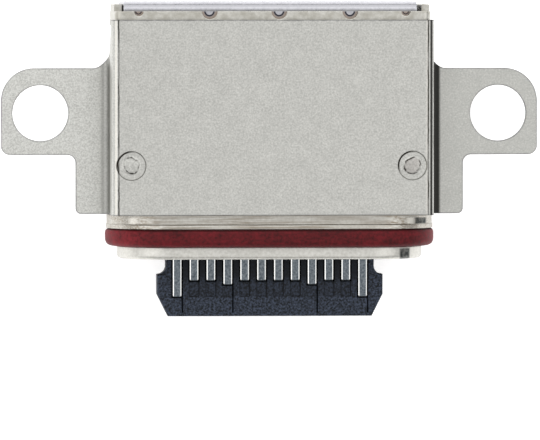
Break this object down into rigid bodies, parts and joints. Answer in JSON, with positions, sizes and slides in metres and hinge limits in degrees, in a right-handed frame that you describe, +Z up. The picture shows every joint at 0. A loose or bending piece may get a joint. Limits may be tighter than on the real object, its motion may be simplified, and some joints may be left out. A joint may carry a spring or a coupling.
{
  "type": "usb-c socket",
  "caption": "Sealed USB-C socket for a phone: stamped steel cover with screw ears, moulded shell with a silicone seal, and a black tongue with rows of flat contacts.",
  "frame": {"origin": "midway between the two screw holes, on the underside of the ears, level with the middle of the tongue", "axes": "+X to the right seen from above with the plug side in front, +Y to the back, +Z up through the stamped cover"},
  "size_m": [0.016, 0.0093, 0.004],
  "materials": {
    "cover_steel": "fine matt rolled sheet with bright cut edges",
    "shell_metal": "smooth, slightly warm, satin",
    "bright_sheet": "bright satin sheet",
    "seal_silicone": "smooth dark red silicone, soft sheen",
    "black_moulding": "blue black moulded resin with a fine grain",
    "cast_resin": "black cast resin",
    "plate_steel": "plain rolled steel",
    "contact_plating": "bright plated strip"
  },
  "bodies": {
    "root": {"bracket_cover": "cover_steel", "front_shell": "shell_metal", "rear_cover": "bright_sheet", "seal_ring": "seal_silicone", "tongue_body": "black_moulding", "upper_contact_holder": "black_moulding", "lower_contact_holder": "black_moulding", "rear_potting": "cast_resin", "mid_plate": "plate_steel", "upper_ground_plate": "plate_steel", "lower_ground_plate": "plate_steel", "contact_a01": "contact_plating", "contact_a02": "contact_plating", "contact_a03": "contact_plating", "contact_a04": "contact_plating", "contact_a05": "contact_plating", "contact_a06": "contact_plating", "contact_a07": "contact_plating", "contact_a08": "contact_plating", "contact_a09": "contact_plating", "contact_a10": "contact_plating", "contact_a11": "contact_plating", "contact_a12": "contact_plating", "contact_b01": "contact_plating", "contact_b02": "contact_plating", "contact_b03": "contact_plating", "contact_b04": "contact_plating", "contact_b05": "contact_plating", "contact_b06": "contact_plating", "contact_b07": "contact_plating", "contact_b08": "contact_plating", "contact_b09": "contact_plating", "contact_b10": "contact_plating", "contact_b11": "contact_plating", "contact_b12": "contact_plating"}
  },
  "joints": []
}
